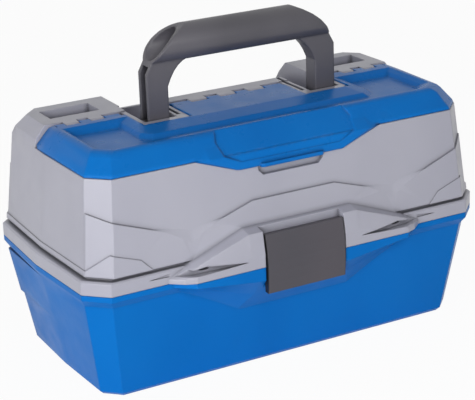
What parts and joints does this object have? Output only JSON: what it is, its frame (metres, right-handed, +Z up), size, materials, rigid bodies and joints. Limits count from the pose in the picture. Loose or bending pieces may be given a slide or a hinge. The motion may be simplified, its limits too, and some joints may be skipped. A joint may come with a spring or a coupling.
{
  "type": "tackle box",
  "caption": "Hard plastic tackle box with a lift-up lid, cantilever trays, a flip-up top cover, a fold-down tube handle and a drop latch.",
  "frame": {"origin": "middle of the flat underside of the base tub", "axes": "+X to the right along the length as seen from the latch side, +Y from the latch side to the hinge side, +Z up"},
  "size_m": [0.368, 0.2114, 0.2695],
  "materials": {
    "blue_plastic": "fine satin moulding",
    "grey_plastic": "fine satin moulding",
    "handle_plastic": "dark grey, lightly grained",
    "latch_plastic": "dark grey, finely grained",
    "tray_plastic": "fine satin moulding",
    "divider_plastic": "milky satin",
    "arm_steel": "zinc plated strip",
    "pin_steel": "plain steel pin"
  },
  "bodies": {
    "base": {"base_tub": "blue_plastic", "base_arm_pins": "pin_steel", "lid_hinge_pins": "pin_steel"},
    "lid": {"lid_shell": "grey_plastic", "cover_hinge_pins": "pin_steel", "latch_hinge_pin": "pin_steel", "handle_pivot_pins": "pin_steel", "lid_link_pins": "pin_steel"},
    "cover": {"flip_cover": "blue_plastic"},
    "handle": {"carry_handle": "handle_plastic"},
    "latch": {"latch_plate": "latch_plastic"},
    "front_arms": {"front_arm_left": "arm_steel", "front_arm_right": "arm_steel"},
    "rear_arms": {"rear_arm_left": "arm_steel", "rear_arm_right": "arm_steel"},
    "tray_lower": {"lower_tray": "tray_plastic", "lower_tray_pins": "pin_steel", "lower_tray_divider_front_left": "divider_plastic", "lower_tray_divider_front_right": "divider_plastic", "lower_tray_divider_back_left": "divider_plastic", "lower_tray_divider_back_right": "divider_plastic"},
    "tray_upper": {"upper_tray": "tray_plastic", "upper_tray_pins": "pin_steel", "upper_tray_divider_front_left": "divider_plastic", "upper_tray_divider_front_right": "divider_plastic", "upper_tray_divider_back_left": "divider_plastic", "upper_tray_divider_back_right": "divider_plastic"}
  },
  "joints": [
    {"name": "lid_hinge", "type": "hinge", "parent": "base", "child": "lid", "pos_m": [0, 0.099, 0.0928], "axis": [-1, 0, 0], "range_deg": [0, 100]},
    {"name": "cover_hinge", "type": "hinge", "parent": "lid", "child": "cover", "pos_m": [0, 0.015, 0.1938], "axis": [-1, 0, 0], "range_deg": [0, 95]},
    {"name": "handle_fold", "type": "hinge", "parent": "lid", "child": "handle", "pos_m": [0, -0.0075, 0.184], "axis": [-1, 0, 0], "range_deg": [0, 88]},
    {"name": "latch_hinge", "type": "hinge", "parent": "lid", "child": "latch", "pos_m": [0, -0.0998, 0.1146], "axis": [-1, 0, 0], "range_deg": [0, 80]},
    {"name": "front_arm_pivot", "type": "hinge", "parent": "base", "child": "front_arms", "pos_m": [0, 0.014, 0.086], "axis": [-1, 0, 0], "range_deg": [0, 100]},
    {"name": "rear_arm_pivot", "type": "hinge", "parent": "base", "child": "rear_arms", "pos_m": [0, 0.064, 0.086], "axis": [-1, 0, 0], "range_deg": [0, 100]},
    {"name": "lower_tray_pivot", "type": "hinge", "parent": "front_arms", "child": "tray_lower", "pos_m": [0, -0.02404, 0.09836], "axis": [-1, 0, 0], "range_deg": [-100, 0]},
    {"name": "upper_tray_pivot", "type": "hinge", "parent": "front_arms", "child": "tray_upper", "pos_m": [0, -0.06209, 0.11072], "axis": [-1, 0, 0], "range_deg": [-100, 0]}
  ],
  "couplings": [
    {"joint": "front_arm_pivot", "follows": "lid_hinge", "ratio": 1},
    {"joint": "rear_arm_pivot", "follows": "lid_hinge", "ratio": 1},
    {"joint": "lower_tray_pivot", "follows": "lid_hinge", "ratio": -1},
    {"joint": "upper_tray_pivot", "follows": "lid_hinge", "ratio": -1},
    {"joint": "handle_fold", "follows": "cover_hinge", "ratio": 0.925}
  ]
}
